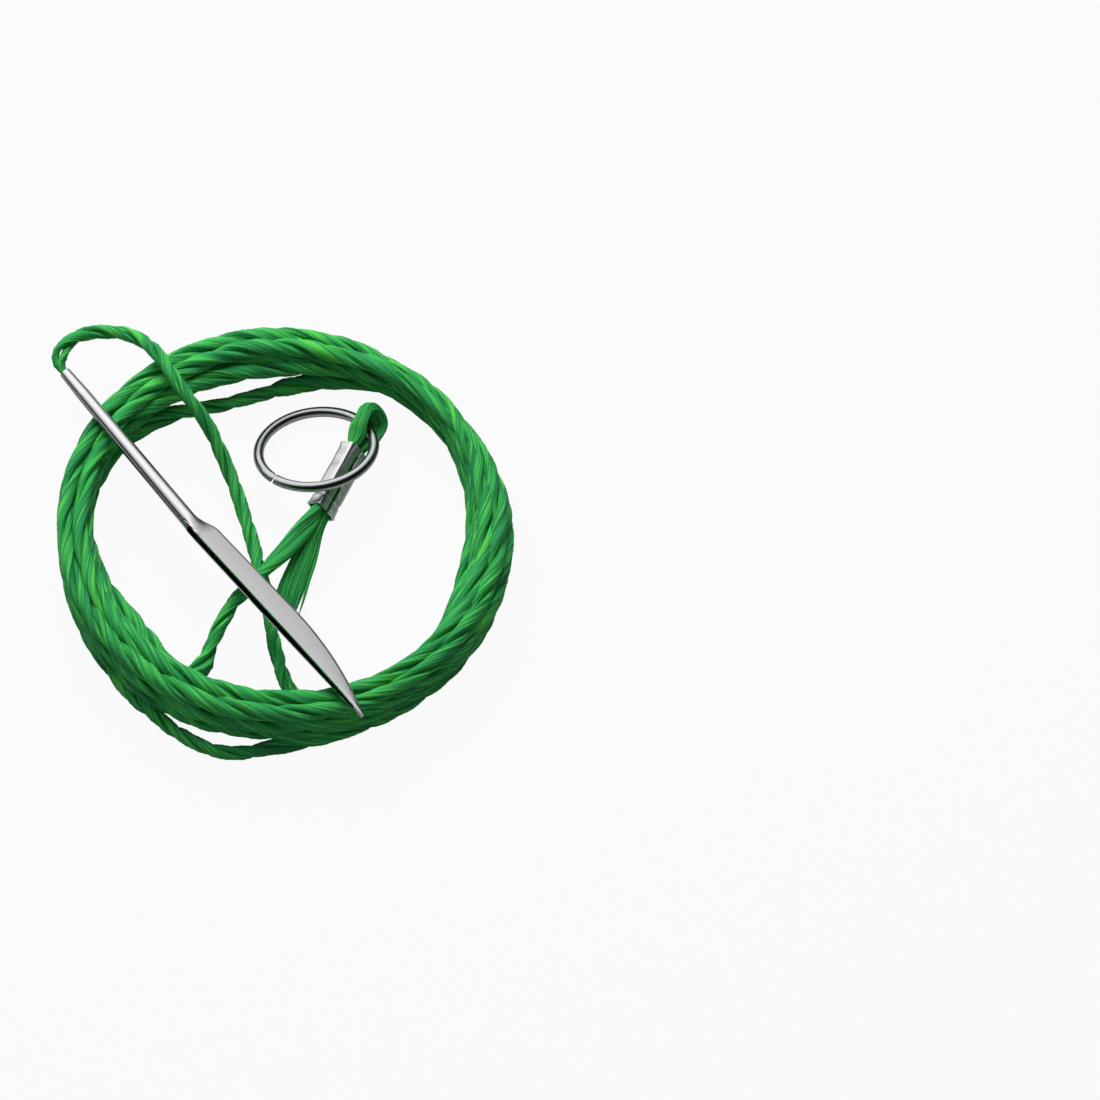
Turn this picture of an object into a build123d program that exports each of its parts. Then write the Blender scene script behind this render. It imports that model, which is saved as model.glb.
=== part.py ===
from build123d import *

import os
from math import atan, ceil, cos, degrees, pi, radians, sin, sqrt, tan

import numpy as np

# Fish stringer: a coiled cord with a rolled steel needle on one end and, on the other,
# a crimped eye that holds a wire ring. The coil lies on the floor, z = 0, and the needle
# lies across it. Millimetres and degrees.

# Cord and coil
cord_diameter = 2.5
coil_outer_radius = 51.5
coil_layers = 4
coil_whole_turns = 11
coil_start_angle = -72.0
coil_end_angle = -134.0
turn_gap = 1.0  # between neighbouring loops of one layer
layer_gap = 0.6  # between one layer and the next
climb_turns = 0.5  # part of a turn in which the cord climbs a layer
floor_flat = 0.5  # depth of the flat that the coil stands on
needle_lead_radius = 10.0  # the cord's bend where it enters the coil, from the needle
needle_lead_turn = 95.0
ring_lead_radius = 8.0  # the cord's bend where it leaves the coil, to the ring
ring_lead_turn = 105.0
ring_lead_drop = 0.6
floor_clearance = 0.1  # under the cord's free stretches

# Needle, rolled and folded from one sheet
needle_length = 112.0
needle_mouth = (-49.8, 37.7)  # centre of the mouth, seen from above
needle_heading = -53.7  # direction of the shank, seen from above
needle_roll = 20.0  # turn about its own length, open edge up
sheet_thickness = 0.4
mouth_radius = 1.3  # crimped on the cord
neck_radius = 1.58
neck_station = 7.5
shank_radius = 1.85  # where the shank ends
shank_end = 48.0
blade_start = 54.0
blade_thickness = 2.4
blade_start_width = 5.9
blade_width = 6.5
nose_start = 82.0
blade_slant = 3.3  # open edge, against the shank
face_crown = 0.06  # rise of the blade's faces
seam_width = 0.25
tip_width = 0.5
tip_thickness = 1.3
rest_near_mouth = 16.0  # stations where the needle crosses the coil
rest_near_tip = 98.0
rest_gap = 0.5

# Cord end inside the shank
socket_depth = 10.0
socket_clearance = 0.02

# Ferrule, bent from one sheet round two runs of cord
ferrule_length = 18.0
ferrule_mouth = (8.1, 5.8, 5.6)  # centre of its lower mouth
ferrule_heading = 65.7
ferrule_slope = -2.5  # towards the eye
ferrule_roll = 54.0  # of the two runs about the ferrule's length
ferrule_wall = 0.6
ferrule_corner = 1.0
ferrule_seam = 0.35
crimp_clearance = 0.03

# Eye of cord beyond the ferrule
eye_spread_start = 1.0
eye_spread_end = 5.0
eye_half_width = 3.05
eye_length = 12.0  # to the middle of the cord at the crown

# Ring
ring_outer_diameter = 28.6
wire_diameter = 2.36
ring_center = (6.9, 22.0, 5.75)
ring_tilt = 19.4  # near side raised
ring_lean = 5.4  # right side raised
ring_joint_angle = 224.0
ring_joint_gap = 0.2

# Frayed cut end
fray_length = 6.0
fray_width = 6.0
fray_thickness = 1.8

# Between a moving piece and the cord that it hinges on
hinge_gap = 0.3
# Straight stretch of cord at a mouth
mouth_run = 3.5
needle_mouth_run = 2.5
coil_mouth_run = 5.0
# Arc of a cord's route: share of the shorter run
arc_share = 0.45

os.makedirs("parts", exist_ok=True)

cord_radius = cord_diameter / 2
turn_pitch = cord_diameter + turn_gap
layer_pitch = cord_diameter + layer_gap


def turned(direction, angle):
    """A level direction, turned about the vertical."""
    return Vector(direction).rotate(Axis.Z, angle)


def bend_radii(points):
    """Radius at each inner point: a share of the shorter run over the tangent of half the turn."""
    radii = []
    for before, here, after in zip(points, points[1:], points[2:]):
        run_in = Vector(here) - Vector(before)
        run_out = Vector(after) - Vector(here)
        half_turn = radians(run_in.get_angle(run_out)) / 2
        radii.append(arc_share * min(run_in.length, run_out.length) / tan(half_turn))
    return radii


def cord_path(points):
    """Straight runs between the points, joined by arcs as large as the runs allow."""
    return FilletPolyline(*points, radius=bend_radii(points))


def report_cord(name, points, path, part):
    """Print a route's bend radii and compare the tube's volume with its section times its length."""
    radii = ", ".join(f"{radius:.1f}" for radius in bend_radii(points))
    expected = pi * cord_radius**2 * path.length
    print(f"{name}: length {path.length:.1f}, volume {part.volume:.1f} of {expected:.1f}, radii {radii}")


# Coil: the loops spiral out and in again, layer on layer, in one unbroken tube
coil_turns = coil_whole_turns + (coil_end_angle - coil_start_angle) / 360
spiral_turns = (coil_turns - (coil_layers - 1) * climb_turns) / coil_layers
inner_loop_radius = coil_outer_radius - cord_radius - turn_pitch * spiral_turns
bottom_height = cord_radius - floor_flat
coil_top = bottom_height + (coil_layers - 1) * layer_pitch + cord_radius
floor_cord_height = cord_radius + floor_clearance


def eased(share):
    """Smooth step from 0 to 1."""
    return share * share * (3 - 2 * share)


def coil_point(turn):
    """Middle of the cord, some turns from the start of the coil."""
    layer = min(int(turn / (spiral_turns + climb_turns)), coil_layers - 1)
    within = turn - layer * (spiral_turns + climb_turns)
    travel = min(within, spiral_turns) * turn_pitch
    climb = eased(max(within - spiral_turns, 0) / climb_turns) * layer_pitch
    spread = travel if layer % 2 == 0 else spiral_turns * turn_pitch - travel
    radius = inner_loop_radius + spread
    angle = radians(coil_start_angle + 360 * turn)
    height = bottom_height + layer * layer_pitch + climb
    return Vector(radius * cos(angle), radius * sin(angle), height)


def coil_direction(turn):
    """Direction of the cord there, from points a little before and after."""
    step = 0.02
    ahead = coil_point(min(turn + step, coil_turns))
    behind = coil_point(max(turn - step, 0))
    return (ahead - behind).normalized()


def biarc(start, start_direction, end, end_direction):
    """Two arcs with a common tangent where they meet, from one point and direction to another."""
    chord = end - start
    both = start_direction + end_direction
    spread = 2 * (1 - start_direction.dot(end_direction))
    along = chord.dot(both)
    reach = (sqrt(along**2 + spread * chord.dot(chord)) - along) / spread
    first_corner = start + start_direction * reach
    second_corner = end - end_direction * reach
    middle = (first_corner + second_corner) / 2
    TangentArc(start, middle, tangent=start_direction)
    TangentArc(middle, end, tangent=second_corner - first_corner)


def lead(point, direction, radius, turn, height):
    """Where a level arc from a coil end arrives, and its direction there; a turn below 0 goes back."""
    level = Vector(direction.X, direction.Y, 0).normalized()
    center = point + turned(level, 90) * radius
    arrival = center + turned(point - center, turn)
    return Vector(arrival.X, arrival.Y, height), turned(level, turn)


coil_start = coil_point(0)
coil_end = coil_point(coil_turns)
needle_lead, needle_lead_direction = lead(
    coil_start, coil_direction(0), needle_lead_radius, -needle_lead_turn, floor_cord_height
)
ring_lead, ring_lead_direction = lead(
    coil_end, coil_direction(coil_turns), ring_lead_radius, ring_lead_turn, coil_end.Z - ring_lead_drop
)
needle_tail_joint = needle_lead - needle_lead_direction * cord_diameter
ring_tail_joint = ring_lead + ring_lead_direction * cord_diameter

spiral_steps = ceil(spiral_turns * 4)
climb_steps = ceil(climb_turns * 4)
stations = [0.0]
for layer in range(coil_layers):
    layer_start = layer * (spiral_turns + climb_turns)
    stations += [layer_start + spiral_turns * step / spiral_steps for step in range(1, spiral_steps + 1)]
    if layer < coil_layers - 1:
        climb_start = layer_start + spiral_turns
        stations += [climb_start + climb_turns * step / climb_steps for step in range(1, climb_steps + 1)]

with BuildPart() as cord_coil:
    with BuildLine() as coil_path:
        Line(needle_tail_joint, needle_lead)
        biarc(needle_lead, needle_lead_direction, coil_start, coil_direction(0))
        for here, there in zip(stations, stations[1:]):
            biarc(coil_point(here), coil_direction(here), coil_point(there), coil_direction(there))
        biarc(coil_end, coil_direction(coil_turns), ring_lead, ring_lead_direction)
        Line(ring_lead, ring_tail_joint)
    coil_wire = Wire(coil_path.edges())
    with BuildSketch(Plane(origin=needle_tail_joint, z_dir=needle_lead_direction)):
        Circle(cord_radius)
    sweep(path=coil_wire)
    split(bisect_by=Plane.XY, keep=Keep.TOP)
cord_coil.part.label = "cord_coil"
export_step(cord_coil.part, "parts/cord_coil.step")

samples = []
for edge in coil_path.edges():
    samples += [tuple(edge.position_at(step / 24)) for step in range(24)]
samples = np.array(samples)
steps_between = np.abs(np.arange(len(samples))[:, None] - np.arange(len(samples))[None, :])
spacing = np.linalg.norm(samples[:, None] - samples[None, :], axis=2)
least_gap = spacing[steps_between > 96].min() - cord_diameter
print(f"cord_coil: {coil_turns:.2f} turns, length {coil_wire.length:.0f}, least gap {least_gap:.2f}")
print(f"cord_coil: top {coil_top:.2f}, inner loop radius {inner_loop_radius:.2f}")

# Needle: tube shank, a step, and a blade of folded sheet that is open along one edge
blade_half = blade_thickness / 2


def open_edge(station):
    """Where the blade's open edge lies, across the needle."""
    return -shank_radius + (station - shank_end) * tan(radians(blade_slant))


def blade_reach(station):
    """Width of the blade: it widens to the nose, then closes along a parabola."""
    if station < nose_start:
        share = (station - blade_start) / (nose_start - blade_start)
        return blade_start_width + (blade_width - blade_start_width) * share
    share = (station - nose_start) / (needle_length - nose_start)
    return tip_width + (blade_width - tip_width) * (1 - share**2)


def blade_half_thickness(station):
    """Half the blade's thickness, thinner towards the tip."""
    share = max(station - nose_start, 0) / (needle_length - nose_start)
    return blade_half + (tip_thickness / 2 - blade_half) * share**2


def tube_outline(radius):
    """Outline of the tube: open corner, fold corner, corner height, face height, fold reach, open reach."""
    corner = radius * sqrt(0.5)
    return np.array([-corner, corner, corner, radius, radius, -radius])


def blade_outline(station, wall=0.0, open_by=0.0):
    """The same six values for the folded blade, a wall thickness in from its surface."""
    half = blade_half_thickness(station) - wall
    left = open_edge(station) - open_by
    right = open_edge(station) + blade_reach(station) - wall
    fold = max(right - half, left + 0.1)
    return np.array([left, fold, half - face_crown, half, right, left - face_crown])


def drop_below_axis(station):
    """How far the blade hangs below the shank's middle line, because of its roll."""
    half = blade_half_thickness(station)
    fold = open_edge(station) + blade_reach(station) - half
    return fold * sin(radians(needle_roll)) + half


mouth_rise = coil_top + rest_gap + neck_radius
tip_rise = coil_top + rest_gap + drop_below_axis(rest_near_tip)
needle_slope = degrees(atan((tip_rise - mouth_rise) / (rest_near_tip - rest_near_mouth)))
mouth_height = mouth_rise - rest_near_mouth * tan(radians(needle_slope))
needle_origin = Vector(*needle_mouth, mouth_height)
needle_level = turned((1, 0, 0), needle_heading)
needle_axis = needle_level * cos(radians(needle_slope)) + Vector(0, 0, sin(radians(needle_slope)))
needle_up = needle_axis.cross(Vector(0, 0, 1)).cross(needle_axis).normalized()
needle_side = needle_up.cross(needle_axis).normalized()
needle_across = needle_side * cos(radians(needle_roll)) - needle_up * sin(radians(needle_roll))


def needle_plane(station):
    """Plane across the needle: x towards the fold, y up through the upper face."""
    return Plane(origin=needle_origin + needle_axis * station, x_dir=needle_across, z_dir=needle_axis)


def needle_section(station, outline):
    """A section of four arcs: lower face, fold, upper face and open edge."""
    left, fold, corner, face, right, reach = (float(value) for value in outline)
    middle = (left + fold) / 2
    with BuildSketch(needle_plane(station)) as section:
        with BuildLine():
            ThreePointArc((left, -corner), (middle, -face), (fold, -corner))
            ThreePointArc((fold, -corner), (right, 0), (fold, corner))
            ThreePointArc((fold, corner), (middle, face), (left, corner))
            ThreePointArc((left, corner), (reach, 0), (left, -corner))
        make_face()
    return section.sketch


step_shares = [0.0, 0.25, 0.5, 0.75, 1.0]
step_stations = [shank_end + (blade_start - shank_end) * share for share in step_shares]
nose_shares = [0.0, 0.3, 0.55, 0.75, 0.9, 1.0]
nose_stations = [nose_start + (needle_length - nose_start) * share for share in nose_shares]
cavity_stations = [station for station in nose_stations if blade_reach(station) > 4 * sheet_thickness]
tube_stations = [(0.0, mouth_radius), (neck_station, neck_radius), (shank_end, shank_radius)]
beyond = sheet_thickness * 3

outer_shank = [needle_section(station, tube_outline(radius)) for station, radius in tube_stations]
inner_shank = [
    needle_section(station, tube_outline(radius - sheet_thickness)) for station, radius in tube_stations
]
outer_step = []
inner_step = []
for share, station in zip(step_shares, step_stations):
    outer = tube_outline(shank_radius) * (1 - eased(share)) + blade_outline(station) * eased(share)
    inner = tube_outline(shank_radius - sheet_thickness) * (1 - eased(share))
    inner = inner + blade_outline(station, sheet_thickness, beyond) * eased(share)
    outer_step.append(needle_section(station, outer))
    inner_step.append(needle_section(station, inner))
outer_blade = [needle_section(station, blade_outline(station)) for station in (blade_start, nose_start)]
inner_blade = [
    needle_section(station, blade_outline(station, sheet_thickness, beyond))
    for station in (blade_start, nose_start)
]
outer_nose = [needle_section(station, blade_outline(station)) for station in nose_stations]
inner_nose = [
    needle_section(station, blade_outline(station, sheet_thickness, beyond)) for station in cavity_stations
]

with BuildPart() as needle:
    loft(outer_shank, ruled=True)
    loft(outer_step)
    loft(outer_blade, ruled=True)
    loft(outer_nose)
    loft(inner_shank, ruled=True, mode=Mode.SUBTRACT)
    loft(inner_step, mode=Mode.SUBTRACT)
    loft(inner_blade, ruled=True, mode=Mode.SUBTRACT)
    loft(inner_nose, mode=Mode.SUBTRACT)
    with BuildSketch(needle_plane(0)):
        with Locations((-shank_radius, 0)):
            Rectangle(2 * shank_radius, seam_width)
    extrude(amount=shank_end + (blade_start - shank_end) / 2, mode=Mode.SUBTRACT)
needle.part.label = "needle"
export_step(needle.part, "parts/needle.step")
print(f"needle: volume {needle.part.volume:.1f}, slope {needle_slope:.2f}, mouth height {mouth_height:.2f}")

# The cord's end, squeezed into the shank
socket_share = socket_depth - neck_station
neck_growth = (shank_radius - neck_radius) / (shank_end - neck_station)
socket_stations = [
    (0.0, mouth_radius),
    (neck_station, neck_radius),
    (socket_depth, neck_radius + neck_growth * socket_share),
]
with BuildPart() as cord_needle_end:
    for station, radius in socket_stations:
        with BuildSketch(needle_plane(station)):
            Circle(radius - sheet_thickness - socket_clearance)
    loft(ruled=True)
cord_needle_end.part.label = "cord_needle_end"
export_step(cord_needle_end.part, "parts/cord_needle_end.step")

# Ferrule: a sheet sleeve round two runs of cord, open along a seam
ferrule_level = turned((1, 0, 0), ferrule_heading)
ferrule_axis = ferrule_level * cos(radians(ferrule_slope)) + Vector(0, 0, sin(radians(ferrule_slope)))
ferrule_up = ferrule_axis.cross(Vector(0, 0, 1)).cross(ferrule_axis).normalized()
ferrule_left = ferrule_up.cross(ferrule_axis).normalized()
run_direction = ferrule_left * cos(radians(ferrule_roll)) + ferrule_up * sin(radians(ferrule_roll))
ferrule_origin = Vector(*ferrule_mouth)
ferrule_plane = Plane(origin=ferrule_origin, x_dir=run_direction, z_dir=ferrule_axis)
run_offset = cord_radius + crimp_clearance
crimp_length = 4 * cord_radius + 4 * crimp_clearance
crimp_height = cord_diameter + 2 * crimp_clearance

with BuildPart() as ferrule:
    with BuildSketch(ferrule_plane):
        RectangleRounded(crimp_length + 2 * ferrule_wall, crimp_height + 2 * ferrule_wall, ferrule_corner)
        RectangleRounded(
            crimp_length, crimp_height, ferrule_corner - ferrule_wall, mode=Mode.SUBTRACT
        )
        with Locations((0, crimp_height / 2 + ferrule_wall / 2)):
            Rectangle(ferrule_seam, 2 * ferrule_wall, mode=Mode.SUBTRACT)
    extrude(amount=ferrule_length)
ferrule.part.label = "ferrule"
export_step(ferrule.part, "parts/ferrule.step")

# Eye: the cord goes up through the ferrule, round the ring's wire and down again
eye_plane = Plane(origin=ferrule_origin, x_dir=ferrule_axis, z_dir=ferrule_axis.cross(run_direction))
eye_side = [
    (0, run_offset),
    (ferrule_length + eye_spread_start, run_offset),
    (ferrule_length + eye_spread_end, eye_half_width),
    (ferrule_length + eye_length, eye_half_width),
]
eye_points = eye_side + [(along, -across) for along, across in reversed(eye_side)]
crown_radius = eye_half_width * 0.98
spread_radius = bend_radii([(along, across, 0) for along, across in eye_side])
with BuildPart() as cord_eye:
    with BuildLine(eye_plane):
        eye_path = FilletPolyline(
            *eye_points, radius=spread_radius + [crown_radius, crown_radius] + spread_radius[::-1]
        )
    with BuildSketch(Plane(origin=eye_path @ 0, z_dir=eye_path % 0)):
        Circle(cord_radius)
    sweep(path=eye_path)
cord_eye.part.label = "cord_eye"
export_step(cord_eye.part, "parts/cord_eye.step")
print(f"cord_eye: length {eye_path.length:.1f}")

# Ring: round wire bent to a circle, with a butt joint
ring_radius = (ring_outer_diameter - wire_diameter) / 2
ring_plane = Plane(origin=ring_center, x_dir=(1, 0, 0), z_dir=(0, 0, 1))
ring_plane = ring_plane.rotated((-ring_tilt, -ring_lean, 0))
joint_half = degrees(ring_joint_gap / ring_radius) / 2
with BuildPart() as ring:
    with BuildLine(ring_plane):
        ring_path = CenterArc((0, 0), ring_radius, ring_joint_angle + joint_half, 360 - 2 * joint_half)
    with BuildSketch(Plane(origin=ring_path @ 0, z_dir=ring_path % 0)):
        Circle(wire_diameter / 2)
    sweep(path=ring_path)
ring.part.label = "ring"
export_step(ring.part, "parts/ring.step")

# Free cord from the needle to the coil: out of the mouth, over the coil, across the floor
needle_exit = needle_origin - needle_axis * hinge_gap
needle_tail_points = [
    needle_exit,
    needle_exit - needle_axis * needle_mouth_run,
    (-50.9, 43.9, 13.2),
    (-47.9, 47.3, 12.9),
    (-43.0, 49.0, 12.8),
    (-37.2, 48.4, 13.0),
    (-31.2, 45.0, 14.3),
    (-26.9, 38.2, 15.6),
    (-23.2, 31.8, 15.6),
    (-18.4, 26.5, 12.3),
    (-14.2, 20.1, 7.0),
    (-10.1, 10.2, 2.5),
    (-6.3, -3.8, 1.5),
    (-3.2, -17.0, 1.4),
    needle_tail_joint - needle_lead_direction * coil_mouth_run,
    needle_tail_joint,
]
with BuildPart() as cord_needle_tail:
    with BuildLine():
        needle_tail_path = cord_path(needle_tail_points)
    with BuildSketch(Plane(origin=needle_tail_path @ 0, z_dir=needle_tail_path % 0)):
        Circle(cord_radius)
    sweep(path=needle_tail_path)
cord_needle_tail.part.label = "cord_needle_tail"
export_step(cord_needle_tail.part, "parts/cord_needle_tail.step")
report_cord("cord_needle_tail", needle_tail_points, needle_tail_path, cord_needle_tail.part)

# Free cord from the coil to the ferrule, over the other one
ring_exit = ferrule_origin + run_direction * run_offset - ferrule_axis * hinge_gap
ring_tail_points = [
    ring_tail_joint,
    ring_tail_joint + ring_lead_direction * coil_mouth_run,
    (-11.0, -18.4, 7.7),
    (-7.0, -13.2, 6.2),
    (-2.6, -7.6, 5.4),
    (1.4, -2.9, 5.6),
    ring_exit - ferrule_axis * mouth_run,
    ring_exit,
]
with BuildPart() as cord_ring_tail:
    with BuildLine():
        ring_tail_path = cord_path(ring_tail_points)
    with BuildSketch(Plane(origin=ring_tail_path @ 0, z_dir=ring_tail_path % 0)):
        Circle(cord_radius)
    sweep(path=ring_tail_path)
cord_ring_tail.part.label = "cord_ring_tail"
export_step(cord_ring_tail.part, "parts/cord_ring_tail.step")
report_cord("cord_ring_tail", ring_tail_points, ring_tail_path, cord_ring_tail.part)

# Cut end of the cord below the ferrule, frayed into a fan
cut_exit = ferrule_origin - run_direction * run_offset - ferrule_axis * hinge_gap
frayed_end_points = [
    cut_exit,
    cut_exit - ferrule_axis * mouth_run,
    (6.5, -2.4, 3.6),
    (5.5, -6.9, 2.0),
    (4.6, -10.4, 1.5),
]
with BuildPart() as cord_frayed_end:
    with BuildLine():
        frayed_end_path = cord_path(frayed_end_points)
    with BuildSketch(Plane(origin=frayed_end_path @ 0, z_dir=frayed_end_path % 0)):
        Circle(cord_radius)
    sweep(path=frayed_end_path)
    fray_start = frayed_end_path @ 1
    fray_out = frayed_end_path % 1
    fray_level = Vector(fray_out.X, fray_out.Y, 0).normalized()
    fray_across = turned(fray_level, 90)
    fray_end = fray_start + fray_level * fray_length
    with BuildSketch(Plane(origin=fray_start, x_dir=fray_across, z_dir=fray_out)):
        Circle(cord_radius)
    with BuildSketch(Plane(origin=fray_end, x_dir=fray_across, z_dir=fray_level)):
        Ellipse(fray_width / 2, fray_thickness / 2)
    loft()
cord_frayed_end.part.label = "cord_frayed_end"
export_step(cord_frayed_end.part, "parts/cord_frayed_end.step")
report_cord("cord_frayed_end", frayed_end_points, frayed_end_path, cord_frayed_end.part)
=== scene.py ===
# %% [markdown]
# # A fish stringer
# A stringer keeps a catch on a line: a long cord with a needle on one end, which goes through the
# gill, and a ring on the other, which the cord is drawn through. Here it lies coiled, with the needle
# across the coil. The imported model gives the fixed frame. This file replaces its plain cord, ferrule
# and ring by finer ones, keeps its needle, and gives each surface its finish.

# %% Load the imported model
from math import cos, pi, radians, sin

import bpy
import numpy as np
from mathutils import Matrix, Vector


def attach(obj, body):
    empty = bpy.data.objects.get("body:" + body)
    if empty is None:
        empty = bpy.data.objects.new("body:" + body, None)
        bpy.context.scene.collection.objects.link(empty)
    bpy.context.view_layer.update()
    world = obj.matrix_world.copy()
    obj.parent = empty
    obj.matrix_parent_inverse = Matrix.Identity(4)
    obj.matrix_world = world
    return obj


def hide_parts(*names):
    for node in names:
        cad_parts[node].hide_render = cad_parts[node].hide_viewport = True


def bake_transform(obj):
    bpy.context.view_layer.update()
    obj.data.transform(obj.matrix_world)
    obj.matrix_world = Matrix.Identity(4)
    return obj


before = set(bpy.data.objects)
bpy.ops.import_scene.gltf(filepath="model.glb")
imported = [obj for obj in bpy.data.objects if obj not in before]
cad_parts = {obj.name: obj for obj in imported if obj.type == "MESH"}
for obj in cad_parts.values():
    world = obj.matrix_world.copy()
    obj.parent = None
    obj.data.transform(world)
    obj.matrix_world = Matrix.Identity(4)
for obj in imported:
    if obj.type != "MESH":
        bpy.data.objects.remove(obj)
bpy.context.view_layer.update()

MM = 0.001

# %% [markdown]
# ## Camera
# The photograph looks down at the coil at a steep angle, from far away, and the stringer lies left of
# the picture's middle. A long lens gives the same flat perspective. The camera moves sideways for the
# framing, so it needs no lens shift.

# %% Camera
PHOTO_SIDE = 1100  # pixels
PIXEL = 0.225 * MM  # one pixel of the photograph, at the coil
COIL_MIDDLE = (285.0, 546.5)  # the coil's middle, in pixels
ELEVATION = radians(60)
LENS = 360.0
SENSOR = 36.0

aim = Vector((
    (PHOTO_SIDE / 2 - COIL_MIDDLE[0]) * PIXEL,
    (COIL_MIDDLE[1] - PHOTO_SIDE / 2) * PIXEL / sin(ELEVATION),
    0,
))
towards_camera = Vector((0, -cos(ELEVATION), sin(ELEVATION)))
camera_data = bpy.data.cameras.new("camera")
camera_data.lens = LENS
camera_data.sensor_width = SENSOR
camera = bpy.data.objects.new("camera", camera_data)
camera.location = aim + towards_camera * (PIXEL * PHOTO_SIDE * LENS / SENSOR)
camera.rotation_euler = (-towards_camera).to_track_quat("-Z", "Y").to_euler()
bpy.context.collection.objects.link(camera)
bpy.context.scene.camera = camera
print("camera at", tuple(round(v, 3) for v in camera.location))

# %% [markdown]
# ## From grids to faces
# Every new piece here is a grid: rings along a path by points around a section. These helpers give a
# tube's grid its faces, and a UV map that runs around the section and along the path, so that a pattern
# can follow the fibres.


# %% Faces and UV of a tube
def grid_faces(rings, sides, first):
    """Quads between neighbouring rings of a closed tube, whose points are numbered ring by ring."""
    ring, side = np.meshgrid(np.arange(rings - 1), np.arange(sides), indexing="ij")
    here = first + ring * sides + side
    beside = first + ring * sides + (side + 1) % sides
    return np.stack([here, beside, beside + sides, here + sides], axis=-1).reshape(-1, 4)


def grid_uv(rings, sides, along):
    """UV of those quads: u goes once around the tube, v is the distance along it in millimetres."""
    ring, side = np.meshgrid(np.arange(rings - 1), np.arange(sides), indexing="ij")
    u = np.stack([side, side + 1, side + 1, side], axis=-1) / sides
    v = np.stack([along[ring], along[ring], along[ring + 1], along[ring + 1]], axis=-1)
    return np.stack([u, v], axis=-1).reshape(-1, 2)


print("a tube of 3 rings with 20 sides has", len(grid_faces(3, 20, 0)), "faces around it")

# %% [markdown]
# ## Tubes
# A ply, a yarn and a bent wire are all tubes with a flat face at each end. Smooth shading would round
# that face off, so each end gets a holding ring: one more ring, so close that the shading turns there.

# %% Tubes as one mesh
HOLD = 0.03  # where a holding ring lies, as a share of the way to the next ring


def with_holding_rings(grid):
    """The grid with one more ring close to each end."""
    near_start = grid[:1] + HOLD * (grid[1:2] - grid[:1])
    near_end = grid[-1:] + HOLD * (grid[-2:-1] - grid[-1:])
    return np.concatenate([grid[:1], near_start, grid[1:-1], near_end, grid[-1:]])


def tube_mesh(name, tubes, alongs, material):
    """One mesh of closed tubes, each a grid of points, rings by sides, with a flat face at each end."""
    faces = []
    smooth = []
    uv = []
    first = 0
    tubes = [with_holding_rings(grid) for grid in tubes]
    alongs = [with_holding_rings(along) for along in alongs]
    for grid, along in zip(tubes, alongs):
        rings, sides = grid.shape[:2]
        faces += grid_faces(rings, sides, first).tolist()
        uv.append(grid_uv(rings, sides, along))
        start = np.arange(first, first + sides)
        faces += [start[::-1].tolist(), (start + (rings - 1) * sides).tolist()]
        smooth += [True] * ((rings - 1) * sides) + [False, False]
        uv.append(np.stack([np.zeros(sides), np.full(sides, along[0])], axis=-1))
        uv.append(np.stack([np.zeros(sides), np.full(sides, along[-1])], axis=-1))
        first += rings * sides
    points = np.concatenate([grid.reshape(-1, 3) for grid in tubes])
    mesh = bpy.data.meshes.new(name)
    mesh.from_pydata(points.tolist(), [], faces)
    uv_map = mesh.uv_layers.new(name="along")
    uv_map.data.foreach_set("uv", np.concatenate(uv).astype(np.float32).ravel())
    mesh.polygons.foreach_set("use_smooth", np.array(smooth))
    mesh.materials.append(material)
    piece = bpy.data.objects.new(name, mesh)
    bpy.context.collection.objects.link(piece)
    print(name, "has", len(points), "points and", len(faces), "faces")
    return piece


print("rings at 0 and 1 with their holding rings:", with_holding_rings(np.array([0.0, 1.0])))

# %% [markdown]
# ## Helpers for finishes
# A finish is a small tree of nodes. These helpers start a material, and make a ramp from dark to light,
# noise that is stretched in one direction, and a blend of two patterns.


# %% Node helpers
def new_material(name):
    """A material, its node tree and its Principled shader."""
    material = bpy.data.materials.new(name)
    material.use_nodes = True
    return material, material.node_tree, material.node_tree.nodes["Principled BSDF"]


def ramp(tree, stops):
    """A colour ramp node with stops of (place, colour)."""
    node = tree.nodes.new("ShaderNodeValToRGB")
    elements = node.color_ramp.elements
    while len(elements) < len(stops):
        elements.new(0.5)
    for element, (place, colour) in zip(elements, stops):
        element.position = place
        element.color = (*colour, 1)
    return node


def stretched_noise(tree, source, scale, detail):
    """Noise on coordinates that are scaled apart in each direction."""
    mapping = tree.nodes.new("ShaderNodeMapping")
    mapping.inputs["Scale"].default_value = scale
    noise = tree.nodes.new("ShaderNodeTexNoise")
    noise.inputs["Scale"].default_value = 1
    noise.inputs["Detail"].default_value = detail
    tree.links.new(source, mapping.inputs["Vector"])
    tree.links.new(mapping.outputs["Vector"], noise.inputs["Vector"])
    return noise.outputs["Fac"]


def weighted(tree, first, share, second):
    """Share of one value plus the rest of another."""
    rest = tree.nodes.new("ShaderNodeMath")
    rest.operation = "MULTIPLY"
    rest.inputs[1].default_value = 1 - share
    tree.links.new(second, rest.inputs[0])
    both = tree.nodes.new("ShaderNodeMath")
    both.operation = "MULTIPLY_ADD"
    both.inputs[1].default_value = share
    tree.links.new(first, both.inputs[0])
    tree.links.new(rest.outputs[0], both.inputs[2])
    return both.outputs[0]


print("helpers:", ", ".join(made.__name__ for made in (new_material, ramp, stretched_noise, weighted)))

# %% [markdown]
# ## The cord's finish
# The cord is spun from hundreds of fine synthetic filaments. They lie along each ply, so the colour and
# the bump are noise that is stretched far along the cord and is narrow around it. Satin comes from a
# middling roughness, and the dark lines between plies come from the geometry itself.

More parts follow.
